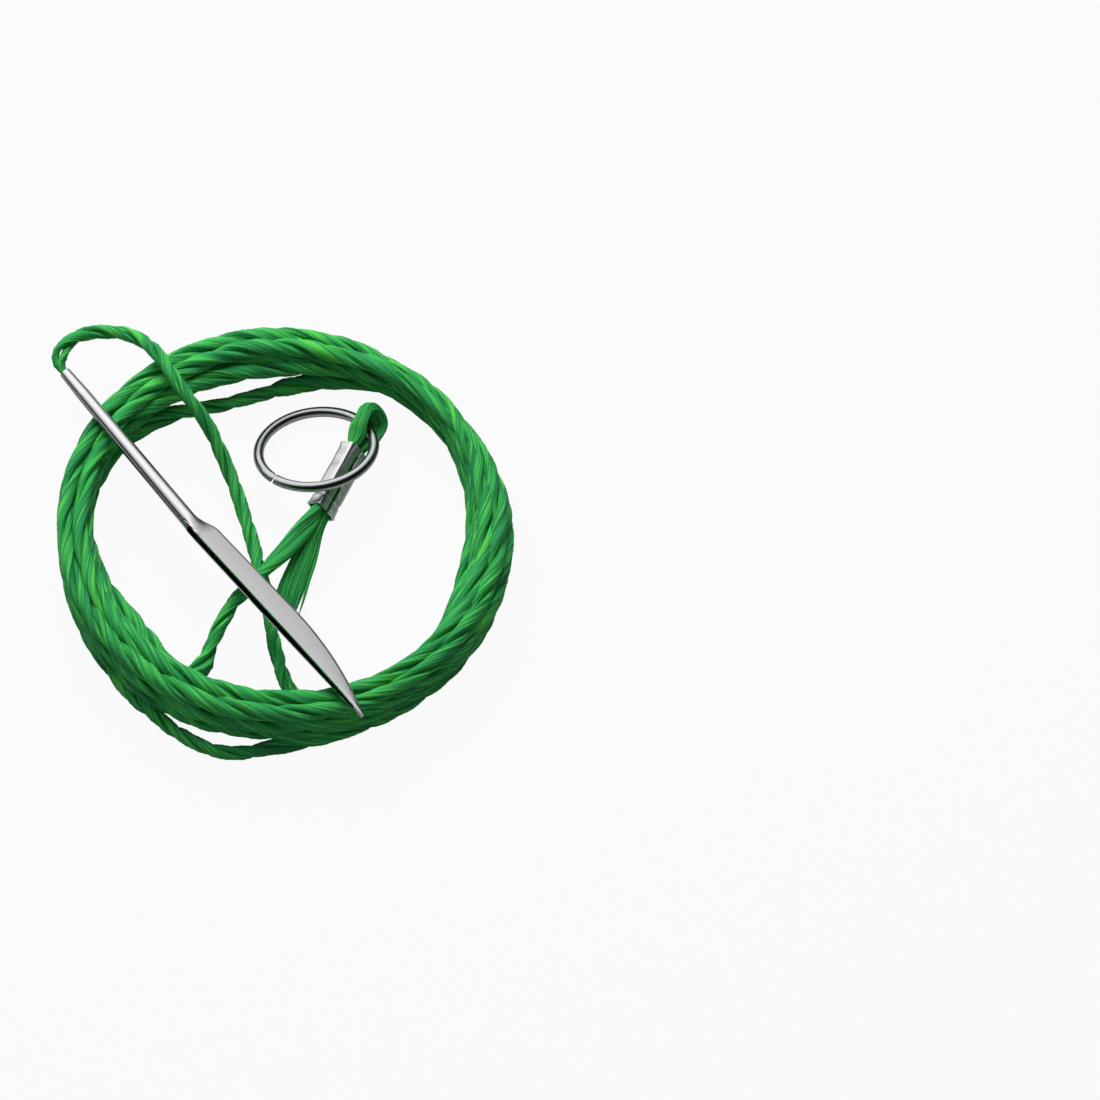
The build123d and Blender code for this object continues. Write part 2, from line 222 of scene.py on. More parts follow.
# %% Cord material
FILAMENTS = (19, 0.05, 1)  # changes once around a ply, and for each millimetre along it
PATCHES = (3, 0.04, 1)
FILAMENT_SHARE = 0.75
GREENS = [
    (0.39, (0.030, 0.215, 0.084)),
    (0.50, (0.032, 0.375, 0.096)),
    (0.59, (0.105, 0.640, 0.098)),
]

cord_green, tree, shader = new_material("cord_green")
uv = tree.nodes.new("ShaderNodeUVMap")
uv.uv_map = "along"
filaments = stretched_noise(tree, uv.outputs["UV"], FILAMENTS, detail=3)
patches = stretched_noise(tree, uv.outputs["UV"], PATCHES, detail=1)
streaks = weighted(tree, filaments, FILAMENT_SHARE, patches)
greens = ramp(tree, GREENS)
tree.links.new(streaks, greens.inputs["Fac"])
tree.links.new(greens.outputs["Color"], shader.inputs["Base Color"])
shader.inputs["Roughness"].default_value = 0.45
shader.inputs["Specular IOR Level"].default_value = 0.06
bump = tree.nodes.new("ShaderNodeBump")
bump.inputs["Strength"].default_value = 1.0
bump.inputs["Distance"].default_value = 0.3 * MM
tree.links.new(filaments, bump.inputs["Height"])
tree.links.new(bump.outputs["Normal"], shader.inputs["Normal"])
print("cord_green has", len(tree.nodes), "nodes")

# %% [markdown]
# ## A smooth line for the cord
# The cord leaves the needle, crosses the coil, dives under it and winds round, and then comes back to
# the ferrule. Its free stretches are listed points, close to those of the solids. One smooth
# NURBS line runs through it all, and everything else about the cord is read from that line.


# %% Read points from a smooth line
def smooth_line(name, points, spacing):
    """Points at an even spacing along a NURBS line of order 3 whose control points are given."""
    curve = bpy.data.curves.new(name, "CURVE")
    curve.dimensions = "3D"
    spline = curve.splines.new("NURBS")
    spline.points.add(len(points) - 1)
    spline.points.foreach_set("co", np.c_[points, np.ones(len(points))].ravel())
    spline.order_u = 3
    spline.use_endpoint_u = True
    spline.resolution_u = 24
    holder = bpy.data.objects.new(name, curve)
    mesh = bpy.data.meshes.new_from_object(holder)
    line = np.empty(len(mesh.vertices) * 3)
    mesh.vertices.foreach_get("co", line)
    line = line.reshape(-1, 3)
    bpy.data.meshes.remove(mesh)
    bpy.data.objects.remove(holder)
    bpy.data.curves.remove(curve)
    reach = np.r_[0, np.cumsum(np.linalg.norm(np.diff(line, axis=0), axis=1))]
    even = np.linspace(0, reach[-1], int(reach[-1] / spacing) + 1)
    return np.stack([np.interp(even, reach, line[:, axis]) for axis in range(3)], axis=-1), even


corner_arc = smooth_line("corner", np.array([(0, 0, 0), (1, 0, 0), (1, 1, 0)]), 0.1)[1]
print("a corner of length 2 is", round(corner_arc[-1], 2), "long as a smooth line")

# %% [markdown]
# ## Waves, bells and easing
# A real cord never repeats itself. Slow waves make it wander, a bell makes something happen in one place
# only, and easing goes from one state to another without a kink.


# %% Waves, bells and easing
def wander(place, sizes, rates, starts):
    """A sum of slow sine waves along the cord."""
    waves = [
        size * np.sin(2 * pi * rate * place + start)
        for size, rate, start in zip(sizes, rates, starts)
    ]
    return np.sum(waves, axis=0)


def bell(place, middle, width):
    """A bell curve along the cord: 1 at its middle, and nearly 0 twice its width away."""
    return np.exp(-(((place - middle) / width) ** 2))


def eased(share):
    """Smooth step from 0 to 1."""
    share = np.clip(share, 0, 1)
    return share * share * (3 - 2 * share)


print("a bell one width and two widths away:", bell(np.array([1, 2]), 0, 1).round(2))

# %% [markdown]
# ## The coil's bundle
# Nothing ties the loops of the coil, so the bundle is wide in one place and narrow in another. Its
# inside and outside radii are given every 30 degrees, measured to the middles of the loops. Where it is
# wide its loops lie a little further apart.

# %% Bundle
AROUND = np.arange(-180, 180, 30)
INSIDE = (44.5, 40.4, 37.9, 41.2, 45.8, 42.6, 39.6, 45.4, 46.4, 41.8, 42.8, 46.3)
OUTSIDE = (49.3, 49.5, 50.4, 50.8, 49.6, 50.6, 49.7, 48.1, 48.7, 52.2, 52.7, 51.8)
LOOP_DISTANCE = 2.3  # between loops, where the bundle has its usual width
USUAL_WIDTH = 4
SLACKER = 0.1  # more distance, for each millimetre of more width


def bundle(angle):
    """Inside and outside radii of the bundle at an angle, and the distance that its loops keep there."""
    inside = np.interp(np.degrees(angle), AROUND, INSIDE, period=360)
    outside = np.interp(np.degrees(angle), AROUND, OUTSIDE, period=360)
    return inside, outside, LOOP_DISTANCE + SLACKER * (outside - inside - USUAL_WIDTH)


widths = np.subtract(OUTSIDE, INSIDE)
print("bundle: from", widths.min().round(1), "to", widths.max().round(1), "mm between outer loops")

# %% [markdown]
# ## Loops in layers
# The cord is wound in layers that go out and in again, each climbing onto the last. Neat layers would
# look machine-made, so each loop wanders a little, and the pile is taller in one place than in another.

# %% Loops in layers
COIL_TURNS = 10.83
COIL_START = radians(-72)
COIL_LAYERS = 4
CLIMB_TURNS = 0.5
BUNDLE_HEIGHT = 9.0  # between the middles of the lowest and highest loops
STATIONS = 36  # points to a turn
LOWEST = 1.25
TALL_AT, TALL, TALL_SPAN = radians(-125), 0.22, 0.35  # the bundle is taller here, by this share
LOW_AT, LOW, LOW_SPAN = radians(-45), 0.12, 0.25


def near(angle, place, span):
    """A bell around the coil: 1 at one place, and nearly 0 on the other side."""
    return bell(np.sin((angle - place) / 2), 0, span)


turn = np.arange(0, COIL_TURNS, 1 / STATIONS)
angle = COIL_START + 2 * pi * turn
inside, outside, settled = bundle(angle)
taller = 1 + TALL * near(angle, TALL_AT, TALL_SPAN) - LOW * near(angle, LOW_AT, LOW_SPAN)

spiral_turns = (COIL_TURNS - (COIL_LAYERS - 1) * CLIMB_TURNS) / COIL_LAYERS
layer = np.minimum(turn // (spiral_turns + CLIMB_TURNS), COIL_LAYERS - 1)
within = turn - layer * (spiral_turns + CLIMB_TURNS)
travel = np.minimum(within / spiral_turns, 1)
spread = np.where(layer % 2 == 0, travel, 1 - travel)
climb = eased((within - spiral_turns) / CLIMB_TURNS)
radius = inside + (outside - inside) * spread
height = LOWEST + BUNDLE_HEIGHT / (COIL_LAYERS - 1) * (layer + climb)
radius = radius + wander(turn, (0.9, 0.6, 0.35), (0.31, 0.87, 2.3), (0.4, 2.1, 1.0))
height = height + wander(turn, (0.7, 0.5, 0.3), (0.43, 1.13, 2.7), (1.7, 0.3, 2.6))
height = height * taller
print("coil:", len(turn), "points in", COIL_LAYERS, "layers of", round(spiral_turns, 2), "turns")

# %% [markdown]
# ## Loops that keep their place
# Two loops stray, one inside the far side and one outside the near side. The cord also has to come in
# from the needle low down, and go out to the ferrule half-way up. Those places are held while the rest
# of the loops find theirs.

# %% Held places
ENTER_AT, ENTER_OVER = 0.05, 0.15  # these are turns, from the coil's start
INNER_AT, INNER_SPAN = 0.5, 0.062
OUTER_AT, OUTER_SPANS = 1.91, (0.076, 0.044)  # the outer stray leaves slowly and comes back fast
OUTER_TURNS = (1.5, 2.3)
LAST_TURNS = 9
LEAVE_BEFORE, LEAVE_OVER = 0.30, 0.25  # these are turns, before the coil's end
INNER_DEPTH, OUTER_DEPTH = 3.6, 5.3  # how far the loops stray, in millimetres
LEAVE_IN, LEAVE_HEIGHT = 0.3, 5.0

entering = eased(1 - (turn - ENTER_AT) / ENTER_OVER)
inner_stray = bell(turn, INNER_AT, INNER_SPAN)
outer_stray = bell(turn, OUTER_AT, np.where(turn < OUTER_AT, *OUTER_SPANS))
leaving = eased((turn - (COIL_TURNS - LEAVE_BEFORE)) / LEAVE_OVER)
held = np.maximum.reduce([entering, inner_stray, outer_stray, leaving])

strays_out = (turn > OUTER_TURNS[0]) & (turn < OUTER_TURNS[1])
held_radius = np.where(turn < LAST_TURNS, inside, inside + LEAVE_IN) - INNER_DEPTH * inner_stray
held_radius = np.where(strays_out, outside + OUTER_DEPTH * outer_stray, held_radius)
held_height = np.where(turn < LAST_TURNS, LOWEST, LEAVE_HEIGHT)
print("held:", np.count_nonzero(held > 0.5), "of", len(turn), "points")

# %% [markdown]
# ## Settling
# Cut through the bundle anywhere and the loops are a handful of discs. Discs that overlap push each other
# apart, pass after pass, and the cord's stiffness smooths each loop, until they lie side by side.

# %% Settled coil
PASSES = 260
PUSH = 0.5  # share of a push that is taken in one pass
STIFFNESS = 0.1
HIGHEST = 10.1

for _ in range(PASSES):
    push_radius = np.zeros_like(radius)
    push_height = np.zeros_like(height)
    for lag in range(STATIONS, len(turn), STATIONS):
        across = radius[lag:] - radius[:-lag]
        above = height[lag:] - height[:-lag]
        apart = np.maximum(np.hypot(across, above), 1e-6)
        push = np.maximum(settled[lag:] - apart, 0) / apart / 2
        push_radius[lag:] += across * push
        push_radius[:-lag] -= across * push
        push_height[lag:] += above * push
        push_height[:-lag] -= above * push
    radius = radius + PUSH * push_radius
    height = height + PUSH * push_height
    radius[1:-1] += STIFFNESS * (radius[2:] + radius[:-2] - 2 * radius[1:-1])
    height[1:-1] += STIFFNESS * (height[2:] + height[:-2] - 2 * height[1:-1])
    radius = np.clip(radius, inside, outside)
    height = np.clip(height, LOWEST, HIGHEST * taller)
    radius = radius + (held_radius - radius) * held
    height = height + (held_height - height) * held

coil_points = np.stack([radius * np.cos(angle), radius * np.sin(angle), height], axis=-1)
print("coil: radius", radius.min().round(1), "to", radius.max().round(1), "height", height.max().round(1))

# %% [markdown]
# ## The whole route
# From the needle the cord bends back over the coil, drops to the floor and goes under the near side. From
# the coil it comes up again to the ferrule. Each stretch follows the photograph from the shank or the
# ferrule on, with heights that keep it clear of what it crosses. Joined, they make one line.

# %% Whole route, from inside the needle to inside the ferrule
LAY = 19.0 * MM  # length in which a ply goes once round the other
RINGS_PER_LAY = 12

needle_points = [
    (-43.88, 29.64, 13.30),
    (-46.84, 33.67, 13.23),
    (-48.91, 36.49, 13.19),
    (-49.98, 37.94, 13.16),
    (-51.46, 39.96, 13.13),
    (-50.9, 43.9, 13.2),
    (-47.9, 47.3, 12.9),
    (-43.0, 49.0, 12.8),
    (-37.2, 48.4, 13.0),
    (-31.2, 45.0, 14.3),
    (-26.9, 38.2, 15.6),
    (-23.2, 31.8, 15.6),
    (-18.4, 26.5, 12.3),
    (-14.2, 20.1, 7.0),
    (-10.1, 10.2, 2.5),
    (-6.3, -3.8, 1.5),
    (-3.2, -17.0, 1.4),
    (-2.2, -26.2, 1.35),
    (-0.85, -31.0, 1.35),
    (1.4, -38.4, 1.3),
    (7.0, -41.8, 1.25),
]
ring_points = [
    (-26.4, -33.6, 4.6),
    (-20.8, -36.6, 4.4),
    (-17.2, -33.2, 4.9),
    (-15.7, -27.6, 6.2),
    (-13.4, -22.6, 7.1),
    (-11.0, -18.4, 7.3),
    (-7.0, -13.2, 6.2),
    (-2.6, -7.6, 5.4),
    (1.4, -2.9, 5.6),
    (5.87, 2.69, 6.8),
    (7.31, 5.88, 6.65),
    (8.95, 9.52, 6.48),
]
route = np.concatenate([needle_points, coil_points, ring_points]) * MM
line, arc = smooth_line("route", route, LAY / RINGS_PER_LAY)
print("cord: length", round(arc[-1], 3), "m")

# %% [markdown]
# ## Twisted plies
# Two flattened plies wind round each other. Each is a tube whose middle circles the cord's line once in
# each lay. Its section is an ellipse with a few soft ridges, which are the yarns in the ply. The sideways
# directions come from the line's heading and one upright direction that the line never points along.

# %% Plies along a line
PLY_SIDES = 20
PLY_YARNS = 5
YARN_RIDGE = 0.06  # height of a ridge, as a share of the ply's radius
RIDGE_TWIST = 1.3  # turns of the ridges round their ply, for each turn of the ply
UPRIGHT = (0, 0, 1)


def directions(line, upright):
    """Left and up at each point of a line: left is square to its heading and the upright direction."""
    heading = np.gradient(line, axis=0)
    heading /= np.linalg.norm(heading, axis=1, keepdims=True)
    left = np.cross(upright, heading)
    left /= np.linalg.norm(left, axis=1, keepdims=True)
    return left, np.cross(heading, left)


def ply(line, turns, offset, radial, tangent):
    """A ply's grid: an ellipse, radial by tangent, carried round the line at an offset, by turns."""
    left, up = directions(line, UPRIGHT)
    phase = (2 * pi * turns)[:, None]
    outward = left * np.cos(phase) + up * np.sin(phase)
    sideways = up * np.cos(phase) - left * np.sin(phase)
    middle = line + outward * offset[:, None]
    around = pi + 2 * pi * np.arange(PLY_SIDES) / PLY_SIDES
    ridge = 1 + YARN_RIDGE * np.cos(PLY_YARNS * around[None, :] + RIDGE_TWIST * phase)
    out = radial[:, None] * np.cos(around)[None, :] * ridge
    side = tangent[:, None] * np.sin(around)[None, :] * ridge
    return middle[:, None] + outward[:, None] * out[:, :, None] + sideways[:, None] * side[:, :, None]


def twisted(line, turns, offset, radial, tangent):
    """Both plies of a cord, half a turn apart, one a little fuller where the other is slimmer."""
    fuller = 1 + wander(turns, (0.06, 0.05), (0.29, 0.67), (0.2, 2.2))
    first = ply(line, turns, offset, radial * fuller, tangent * fuller)
    second = ply(line, turns + 0.5, offset, radial / fuller, tangent / fuller)
    return [first, second]


print("a ply has", PLY_SIDES, "points around it and", PLY_YARNS, "soft ridges")

# %% [markdown]
# ## Loose yarns
# Where the twist runs out, the plies fall apart into yarns that lie side by side in a flat band. The
# yarns' places in the band follow the golden angle, as the seeds of a sunflower do, which fills it evenly.

# %% Yarns along a line
YARN_SIDES = 6
GOLDEN_ANGLE = pi * (3 - 5 ** 0.5)


def yarn_spots(count, hollow):
    """Places in a disc of radius 1, out from a hollow middle, each a golden angle on from the last."""
    order = np.arange(count)
    reach = np.sqrt(hollow ** 2 + (1 - hollow ** 2) * (order + 0.5) / count)
    return reach * np.cos(GOLDEN_ANGLE * order), reach * np.sin(GOLDEN_ANGLE * order)


def yarns(line, turns, spots, wide, thick, size, upright=UPRIGHT):
    """Yarns in a band that turns along a line: spots times half the band's width and thickness."""
    left, up = directions(line, upright)
    phase = 2 * pi * turns
    across = spots[0][:, None] * wide
    above = spots[1][:, None] * thick
    to_left = across * np.cos(phase) - above * np.sin(phase)
    to_top = across * np.sin(phase) + above * np.cos(phase)
    middle = line + to_left[:, :, None] * left + to_top[:, :, None] * up
    around = 2 * pi * np.arange(YARN_SIDES) / YARN_SIDES
    ring = np.cos(around)[None, :, None] * left[:, None] + np.sin(around)[None, :, None] * up[:, None]
    size = np.broadcast_to(size, middle.shape[:2])
    return list(middle[:, :, None] + size[:, :, None, None] * ring)


print("golden angle:", round(np.degrees(GOLDEN_ANGLE), 1), "degrees")

# %% [markdown]
# ## How the cord changes along its length
# Near the needle the cord is squeezed to fit the mouth, and opens into two plies just outside. Near the
# ferrule it is squeezed too, and before that the twist runs out and the plies lie wide and flat. In the
# coil it is pulled a little straighter, so its twist is longer, and its plies fill the room between loops.

# %% Squeeze, fullness and twist
NEEDLE_MOUTH = 10.3 * MM  # lengths along the cord, from its end in the shank
NEEDLE_OPEN, OPEN_SPAN = NEEDLE_MOUTH + 5 * MM, 2.2 * MM
COIL_FROM, COIL_OVER = 100 * MM, 20 * MM
FERRULE_FREE = 9.0 * MM  # lengths from the cord's end in the ferrule
LOOSE_AT, LOOSE_SPAN = 14 * MM, 10 * MM
NEEDLE_SQUEEZE, NEEDLE_SQUEEZE_OVER = 0.40, 4 * MM
FERRULE_SQUEEZE = 0.22
ASTRAY_FROM, ASTRAY_OVER = 0.5, 2  # millimetres out of the bundle, where a loop counts as free
FREE_FULLNESS = 1.08
FULLNESS_PER_MM = 0.46  # how the plies fill the distance between loops
LOOSE_UNTWIST, COIL_UNTWIST = 0.8, 0.28

to_end = arc[-1] - arc
loose = bell(to_end, LOOSE_AT, LOOSE_SPAN)
opened = bell(arc, NEEDLE_OPEN, OPEN_SPAN)
squeezed = (
    1
    - NEEDLE_SQUEEZE * (1 - eased((arc - NEEDLE_MOUTH) / NEEDLE_SQUEEZE_OVER))
    - FERRULE_SQUEEZE * (1 - eased(to_end / FERRULE_FREE))
)
bundle_inside, bundle_outside, loop_distance = bundle(np.arctan2(line[:, 1], line[:, 0]))
from_middle = np.hypot(line[:, 0], line[:, 1]) / MM
astray = np.maximum(from_middle - bundle_outside, bundle_inside - from_middle)
in_coil = (1 - eased((astray - ASTRAY_FROM) / ASTRAY_OVER)) * eased((arc - COIL_FROM) / COIL_OVER)
fullness = squeezed * (FREE_FULLNESS + in_coil * (FULLNESS_PER_MM * loop_distance - 1.0))

uneven = 1 + wander(arc / LAY, (0.10, 0.07), (0.173, 0.411), (0.5, 1.9))
rate = (1 - LOOSE_UNTWIST * loose) * (1 - COIL_UNTWIST * in_coil) / LAY * uneven
turns = np.cumsum(rate) * (arc[1] - arc[0])
print("twist:", round(np.ptp(turns)), "turns in all")

# %% [markdown]
# ## The twist's phase
# In two places it shows how the plies lie: in the loose stretch before the ferrule, and just outside the
# needle's mouth. In both they lie side by side. The count of turns starts at the first place. It is then
# stretched over the whole cord, by a quarter turn at most, so that it also fits at the second.

# %% Phase and plies
PLY_OFFSET = 0.70 * MM
PLY_RADIAL = 0.78 * MM
PLY_TANGENT = 1.22 * MM
FLOOR_GAP = 0.05 * MM

widest = np.searchsorted(-to_end, -LOOSE_AT)
turns = turns - turns[widest]
open_turns = np.interp(NEEDLE_OPEN, arc, turns)
turns = turns + (np.round(open_turns * 2) / 2 - open_turns) * eased(to_end / arc[-1])
plies = twisted(
    line, turns,
    PLY_OFFSET * fullness * (1 + 0.35 * opened + 0.45 * loose),
    PLY_RADIAL * fullness * (1 + 0.40 * loose),
    PLY_TANGENT * fullness * (1 - 0.15 * opened),
)
for ply_grid in plies:
    ply_grid[..., 2] = np.maximum(ply_grid[..., 2], FLOOR_GAP)  # the cord lies flat on the floor
print("plies:", len(plies), "tubes of", len(arc), "rings")

# %% [markdown]
# ## Slack before the ferrule
# Where the twist runs out, some yarns come loose from the plies. They lie round them as a thin skin that
# fades into the twisted cord.

# %% Slack yarns
LOOSE_LENGTH = 34 * MM
LOOSE_FADE = 12 * MM
SLACK_YARNS, SLACK_HOLLOW = 22, 0.75
SLACK_SIZE = 0.36
THINNEST = 0.02 * MM

slack = to_end <= LOOSE_LENGTH
slack_arc = arc[slack]
slack_fade = eased((LOOSE_LENGTH - to_end[slack]) / LOOSE_FADE)
slack_yarns = yarns(
    line[slack], turns[slack], yarn_spots(SLACK_YARNS, SLACK_HOLLOW),
    1.28 * MM * squeezed[slack] * (1 + 0.62 * loose[slack]),
    1.02 * MM * squeezed[slack],
    SLACK_SIZE * slack_fade * squeezed[slack] * MM + THINNEST,
)
print("slack:", len(slack_yarns), "yarns over", LOOSE_LENGTH / MM, "mm")

# %% [markdown]
# ## Pieces of cord
# The cord is one length, cut here into four pieces that meet ring on ring. The end in the shank goes with
# the needle, and the long piece stays with the coil. A short piece at each mouth lies between the coil
# and the piece that lifts off it.

# %% Cord from the needle through the coil to the ferrule
SHANK_END = 8.0 * MM  # where the cord's end in the shank meets the bending piece
NEEDLE_FREE = 16.0 * MM  # where the bending piece meets the free cord
PATTERN_STEP = 37  # millimetres from one tube's pattern to the next one's


def stretch(tubes, arc, low, high):
    """The rings of a cord's tubes between two lengths along it, and those lengths in millimetres."""
    first = np.searchsorted(arc, low)
    last = np.searchsorted(arc, high)
    places = arc[first:last + 1] / MM
    alongs = [places + PATTERN_STEP * k for k in range(len(tubes))]
    return [grid[first:last + 1] for grid in tubes], alongs


ferrule_free = arc[-1] - FERRULE_FREE
cord_in_shank = tube_mesh("cord_in_shank", *stretch(plies, arc, 0, SHANK_END), cord_green)
cord_at_needle = tube_mesh("cord_at_needle", *stretch(plies, arc, SHANK_END, NEEDLE_FREE), cord_green)
cord_tubes, cord_places = stretch(plies, arc, NEEDLE_FREE, ferrule_free)
loose_tubes, loose_places = stretch(slack_yarns, slack_arc, 0, ferrule_free)
cord = tube_mesh("cord", cord_tubes + loose_tubes, cord_places + loose_places, cord_green)
cord_tubes, cord_places = stretch(plies, arc, ferrule_free, arc[-1])
loose_tubes, loose_places = stretch(slack_yarns, slack_arc, ferrule_free, arc[-1])
cord_at_ferrule = tube_mesh(
    "cord_at_ferrule", cord_tubes + loose_tubes, cord_places + loose_places, cord_green
)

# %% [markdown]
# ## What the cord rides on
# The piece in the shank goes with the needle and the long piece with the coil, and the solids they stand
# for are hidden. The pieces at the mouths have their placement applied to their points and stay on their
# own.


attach(cord_in_shank, "needle")
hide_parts("cord_needle_end")
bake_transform(cord_at_needle)
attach(cord, "coil")
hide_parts("cord_coil", "cord_needle_tail", "cord_ring_tail")
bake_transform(cord_at_ferrule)

# %% [markdown]
# ## The eye
# Beyond the ferrule the cord makes a small eye round the ring. Its twist is gone there, and its yarns lie
# side by side as a flat band. The eye is flat too, so its own plane gives the sideways directions.

# %% Eye of cord
EYE_SPACING = 0.5 * MM
EYE_YARNS, EYE_HOLLOW = 44, 0.1
FLUFF_FROM, FLUFF_OVER = 17.5, 4.5  # millimetres beyond the ferrule's lower mouth
RING_AT, RING_SPAN = 24.9, 1.7
CROWN_FROM, CROWN_OVER = 26.6, 1.8

ferrule_mouth = np.array([8.1, 5.8, 5.6]) * MM
ferrule_axis = np.array([0.4111, 0.9105, -0.0436])
run_direction = np.array([-0.5212, 0.2740, 0.8082])
eye_normal = np.cross(ferrule_axis, run_direction)
eye_half = np.array([
    (3.0, 1.28),
    (10.0, 1.28),
    (19.0, 1.28),
    (21.6, 1.6),
    (23.2, 2.65),
    (26.0, 2.9),
    (28.7, 2.3),
])
eye_plan = np.concatenate([eye_half, eye_half[::-1] * (1, -1)]) * MM
eye_points = ferrule_mouth + eye_plan[:, :1] * ferrule_axis + eye_plan[:, 1:] * run_direction
eye_line, eye_arc = smooth_line("eye", eye_points, EYE_SPACING)
beyond = (eye_line - ferrule_mouth) @ ferrule_axis / MM
fluffed = eased((beyond - FLUFF_FROM) / FLUFF_OVER)
beside_ring = bell(beyond, RING_AT, RING_SPAN)
crown = eased((beyond - CROWN_FROM) / CROWN_OVER)
eye_turns = 0.25 + wander(eye_arc / MM, (0.05, 0.02), (0.021, 0.055), (0.6, 1.4))
eye_yarns = yarns(
    eye_line, eye_turns, yarn_spots(EYE_YARNS, EYE_HOLLOW),
    (0.85 + 1.25 * fluffed) * MM,
    (0.85 + 0.35 * fluffed - 0.45 * beside_ring + 0.55 * crown) * MM,
    (0.34 + 0.05 * fluffed) * MM,
    upright=eye_normal,
)
eye = tube_mesh("eye", *stretch(eye_yarns, eye_arc, 0, eye_arc[-1]), cord_green)
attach(eye, "ferrule")
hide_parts("cord_eye")

# %% [markdown]
# ## The cut end
# The cord's other end comes out of the ferrule and is simply cut, so it frays. It is a handful of tapered
# wisps that start close together in the ferrule and fan out flat towards the floor.

# %% Frayed wisps
WISPS = 48
WISP_SPACING = 0.9 * MM
WISP_SIZE = 0.46 * MM
WISP_GAP = 0.1 * MM  # between the wisps and the floor
TAPER_FROM = 0.7

cut_points = np.array([
    (10.28, 8.82, 4.41),
    (8.64, 5.18, 4.58),
    (7.0, 1.9, 4.6),
    (5.1, -2.6, 3.7),
    (3.3, -7.0, 2.7),
    (1.7, -11.2, 2.0),
    (-0.9, -20.6, 1.5),
]) * MM
cut_line, cut_arc = smooth_line("cut_end", cut_points, WISP_SPACING)
chance = np.random.default_rng(7)
run = cut_arc / cut_arc[-1]
wisp_end = (0.90 + 0.10 * chance.random(WISPS))[:, None]
wisp_wave = (2 * pi * chance.random(WISPS))[:, None]
wisp_size = (0.75 + 0.5 * chance.random(WISPS))[:, None]
wisp_left, wisp_up = yarn_spots(WISPS, 0.0)
wisp_left[0] = 1.25  # one wisp stands apart
ripple = 0.07 * np.sin(7 * run + wisp_wave) * run
taper = 1 - 0.8 * eased((run - TAPER_FROM) / (wisp_end - TAPER_FROM))
fan = (0.95 + 1.45 * eased((run - 0.12) / 0.42) + 0.5 * eased((run - 0.45) / 0.55)) * MM
flat = (1.0 - 0.3 * eased((run - 0.2) / 0.6)) * MM
wisps = np.array(yarns(
    cut_line, np.zeros(len(run)), (wisp_left, wisp_up), fan, flat, WISP_SIZE * wisp_size * taper
))
leftward = directions(cut_line, UPRIGHT)[0]
wisps = wisps + (ripple * fan)[:, :, None, None] * leftward[None, :, None]
stop = np.minimum(np.arange(len(run)), np.searchsorted(run, wisp_end[:, 0])[:, None])
wisps = np.take_along_axis(wisps, stop[:, :, None, None], axis=1)
wisps[..., 2] = np.maximum(wisps[..., 2], WISP_GAP)
print("wisps:", WISPS, "over", round(cut_arc[-1] / MM, 1), "mm")

# %% [markdown]
# ## Pieces of the cut end
# The wisps are cut in two, like the cord. The part at the ferrule's mouth stays on its own, and the rest
# goes with the coil. The eye and this end are one more stretch of the same cord.

# %% Bodies of the cut end
CUT_FREE = 8.5 * MM
cut_at_ferrule = tube_mesh("cut_at_ferrule", *stretch(list(wisps), cut_arc, 0, CUT_FREE), cord_green)
cut_end = tube_mesh("cut_end", *stretch(list(wisps), cut_arc, CUT_FREE, cut_arc[-1]), cord_green)
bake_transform(cut_at_ferrule)
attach(cut_end, "coil")
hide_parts("cord_frayed_end")

# %% [markdown]
# ## Fine marks
# Steel that has been drawn, pressed and polished keeps fine marks, which make its gloss uneven. One node
# group makes the marks. Each steel piece has its own size and direction for them.


# %% Fine marks
def fine_marks():
    """A node group: noise, stretched by a scale, as a mask around 0.5."""
    group = bpy.data.node_groups.new("fine_marks", "ShaderNodeTree")
    group.interface.new_socket("Vector", in_out="INPUT", socket_type="NodeSocketVector")
    group.interface.new_socket("Scale", in_out="INPUT", socket_type="NodeSocketVector")
    group.interface.new_socket("Turn", in_out="INPUT", socket_type="NodeSocketVector")
    group.interface.new_socket("Mask", in_out="OUTPUT", socket_type="NodeSocketFloat")
    entry = group.nodes.new("NodeGroupInput")
    mapping = group.nodes.new("ShaderNodeMapping")
    mapping.vector_type = "TEXTURE"
    squeeze = group.nodes.new("ShaderNodeVectorMath")
    squeeze.operation = "MULTIPLY"
    noise = group.nodes.new("ShaderNodeTexNoise")
    noise.inputs["Scale"].default_value = 1
    noise.inputs["Detail"].default_value = 3
    leave = group.nodes.new("NodeGroupOutput")
    group.links.new(entry.outputs["Vector"], mapping.inputs["Vector"])
    group.links.new(entry.outputs["Turn"], mapping.inputs["Rotation"])
    group.links.new(mapping.outputs["Vector"], squeeze.inputs[0])
    group.links.new(entry.outputs["Scale"], squeeze.inputs[1])
    group.links.new(squeeze.outputs["Vector"], noise.inputs["Vector"])
    group.links.new(noise.outputs["Fac"], leave.inputs["Mask"])
    return group


marks_group = fine_marks()
print("fine_marks has", len(marks_group.nodes), "nodes")

# %% [markdown]
# ## Steel
# The needle and the ring are polished, and the ferrule less so. Where its sheet is cut the metal is fresh,
# and its colour there is brighter than steel, partly a painted highlight along the cut edge. Polished steel
# is mostly what it mirrors, so the light below matters more than the colour.

# %% Steels
MASK_LOW, MASK_HIGH = 0.3, 0.7  # the noise stays mostly between these
DULL = 0.93  # colour in the marks, as a share of the full colour
NEEDLE_HEADING = radians(-53.7)


